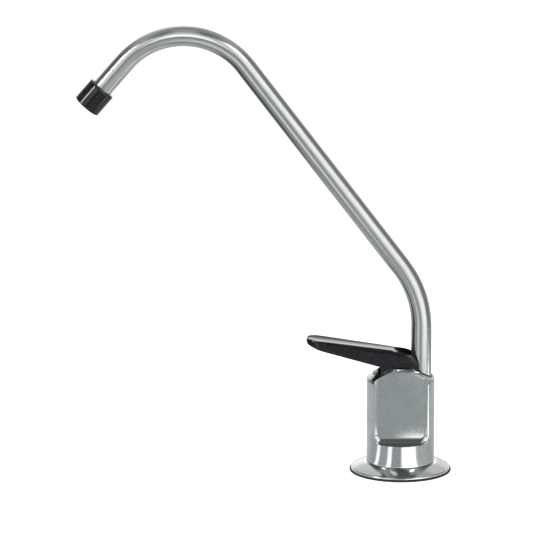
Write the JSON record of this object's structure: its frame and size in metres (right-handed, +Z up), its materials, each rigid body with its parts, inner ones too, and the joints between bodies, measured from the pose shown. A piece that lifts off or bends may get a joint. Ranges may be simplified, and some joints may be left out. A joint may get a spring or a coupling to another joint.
{
  "type": "drinking-water faucet",
  "caption": "Deck-mounted drinking-water faucet: round body with milled flats, press or flip lever, long-reach swivel tube spout with drooping outlet.",
  "frame": {"origin": "centre of the shank in the deck plane, on the gasket's underside", "axes": "+Z up, away from the deck; -Y forward, where the spout reaches; the shank points down -Z"},
  "size_m": [0.0476, 0.1745, 0.2723],
  "materials": {
    "body_metal": "brushed nickel plating on brass, satin, fine horizontal grain on the flats",
    "plate_metal": "brushed nickel plating, nearly polished",
    "tube_metal": "brushed nickel, grain along the tube",
    "shank_metal": "nickel plated brass, machined thread",
    "nut_metal": "nickel plated brass, plain",
    "brass": "turned brass",
    "steel": "stainless spring steel",
    "lever_plastic": "black moulded plastic, glossy",
    "cover_plastic": "black moulded plastic, glossy",
    "tip_plastic": "black moulded plastic, glossy",
    "gasket_rubber": "black rubber, matte",
    "seal_rubber": "black rubber",
    "washer_plastic": "black moulded plastic, matte",
    "sleeve_plastic": "white acetal"
  },
  "bodies": {
    "root": {"body": "body_metal", "escutcheon": "plate_metal", "deck_gasket": "gasket_rubber", "slot_cover": "cover_plastic", "bonnet_nut": "brass", "bonnet_o_ring": "seal_rubber", "stem_o_ring": "seal_rubber", "spout_snap_ring": "steel", "shank": "shank_metal", "shank_o_ring": "seal_rubber", "locating_washer": "washer_plastic", "star_washer": "steel", "mounting_nut": "nut_metal", "compression_nut": "nut_metal", "tube_sleeve": "sleeve_plastic"},
    "spout": {"spout_tube": "tube_metal", "spout_nose": "brass", "spout_o_ring_lower": "seal_rubber", "spout_o_ring_upper": "seal_rubber", "spout_tip": "tip_plastic"},
    "spring": {"stem_spring": "steel"},
    "stem": {"valve_stem": "brass", "seat_washer": "seal_rubber", "washer_screw": "steel"},
    "pin": {"lever_pin": "steel"},
    "lever": {"lever": "lever_plastic"}
  },
  "joints": [
    {"name": "spout_swivel", "type": "hinge", "parent": "root", "child": "spout", "pos_m": [0, 0.00952, 0.03], "axis": [0, 0, 1], "continuous": true},
    {"name": "press_lift", "type": "slide", "parent": "root", "child": "spring", "axis": [0, 0, 1], "range_m": [0, 0.0012], "stiffness_N_per_m": 80, "springref_m": -0.001, "deforming": ["stem_spring"]},
    {"name": "flip_lift", "type": "slide", "parent": "spring", "child": "stem", "axis": [0, 0, 1], "range_m": [0, 0.0012]},
    {"name": "lever_flip", "type": "hinge", "parent": "stem", "child": "pin", "pos_m": [0, -0.003, 0.0493], "axis": [-1, 0, 0], "range_deg": [0, 62]},
    {"name": "lever_press", "type": "hinge", "parent": "pin", "child": "lever", "pos_m": [0, -0.003, 0.0493], "axis": [1, 0, 0], "range_deg": [0, 12]}
  ],
  "couplings": [
    {"joint": "lever_press", "follows": "press_lift", "rad_per_m": 174.53},
    {"joint": "lever_flip", "follows": "flip_lift", "rad_per_m": 901.75}
  ]
}
